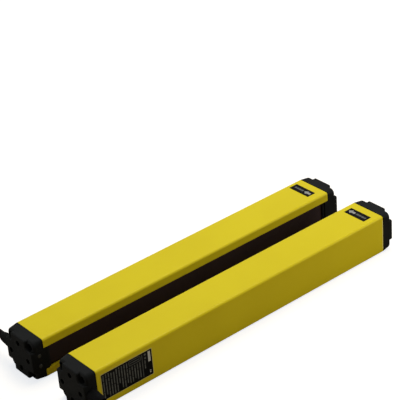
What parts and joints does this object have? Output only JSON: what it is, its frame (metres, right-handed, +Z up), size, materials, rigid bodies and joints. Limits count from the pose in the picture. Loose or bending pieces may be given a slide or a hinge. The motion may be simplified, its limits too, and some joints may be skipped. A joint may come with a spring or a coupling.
{
  "type": "safety light curtain",
  "caption": "Pair of square light-barrier bars, an emitter and a receiver, with dark windows that face each other, black moulded end caps and a short cable with a round plug.",
  "frame": {"origin": "centre of the pair's bounding box on the surface it lies on, without the cable and the two boots", "axes": "+X along the bars from the cable ends to the blind ends, +Y from the emitter across the protective field to the receiver, +Z up"},
  "size_m": [0.357, 0.1509, 0.0302],
  "materials": {
    "yellow_powder_coat": "satin powder coat",
    "infrared_window": "glossy infrared-pass sheet",
    "seal_rubber": "dull moulded rubber",
    "cap_plastic": "fine moulded texture",
    "gasket_rubber": "dull rubber",
    "black_screws": "blackened steel",
    "carrier_plastic": "matt black moulding",
    "lens_plastic": "clear moulded lens, tinted",
    "circuit_board": "solder-mask lacquer",
    "component_plastic": "moulded component bodies",
    "indicator_plastic": "smoked clear lens, unlit",
    "diode_plastic": "clear epoxy",
    "label_film": "black polyester film",
    "plate_film": "black polyester film",
    "cable_rubber": "black jacket",
    "plug_plastic": "black moulding",
    "plug_metal": "nickel-plated nut",
    "pin_metal": "gold-plated pins"
  },
  "bodies": {
    "root": {"emitter_housing": "yellow_powder_coat", "emitter_window": "infrared_window", "emitter_window_seals": "seal_rubber", "emitter_cable_end_cap": "cap_plastic", "emitter_blind_end_cap": "cap_plastic", "emitter_cable_end_gasket": "gasket_rubber", "emitter_blind_end_gasket": "gasket_rubber", "emitter_cable_end_screws": "black_screws", "emitter_blind_end_screws": "black_screws", "emitter_optics_carrier": "carrier_plastic", "emitter_lens_strip": "lens_plastic", "emitter_beam_board": "circuit_board", "emitter_control_board": "circuit_board", "emitter_control_components": "component_plastic", "emitter_board_link_header": "component_plastic", "emitter_indicator_lenses": "indicator_plastic", "emitter_arrow_label": "label_film", "receiver_housing": "yellow_powder_coat", "receiver_window": "infrared_window", "receiver_window_seals": "seal_rubber", "receiver_cable_end_cap": "cap_plastic", "receiver_blind_end_cap": "cap_plastic", "receiver_cable_end_gasket": "gasket_rubber", "receiver_blind_end_gasket": "gasket_rubber", "receiver_cable_end_screws": "black_screws", "receiver_blind_end_screws": "black_screws", "receiver_optics_carrier": "carrier_plastic", "receiver_lens_strip": "lens_plastic", "receiver_beam_board": "circuit_board", "receiver_control_board": "circuit_board", "receiver_control_components": "component_plastic", "receiver_board_link_header": "component_plastic", "receiver_indicator_lenses": "indicator_plastic", "receiver_arrow_label": "label_film", "emitter_light_diodes": "diode_plastic", "receiver_light_sensors": "diode_plastic", "emitter_data_plate": "plate_film", "emitter_cable_grommet": "cable_rubber", "receiver_strain_relief": "cable_rubber", "receiver_cable_lead": "cable_rubber", "receiver_cable_coil": "cable_rubber", "receiver_plug_body": "plug_plastic", "receiver_plug_nut": "plug_metal", "receiver_plug_insert": "plug_plastic", "receiver_plug_pins": "pin_metal"}
  },
  "joints": []
}
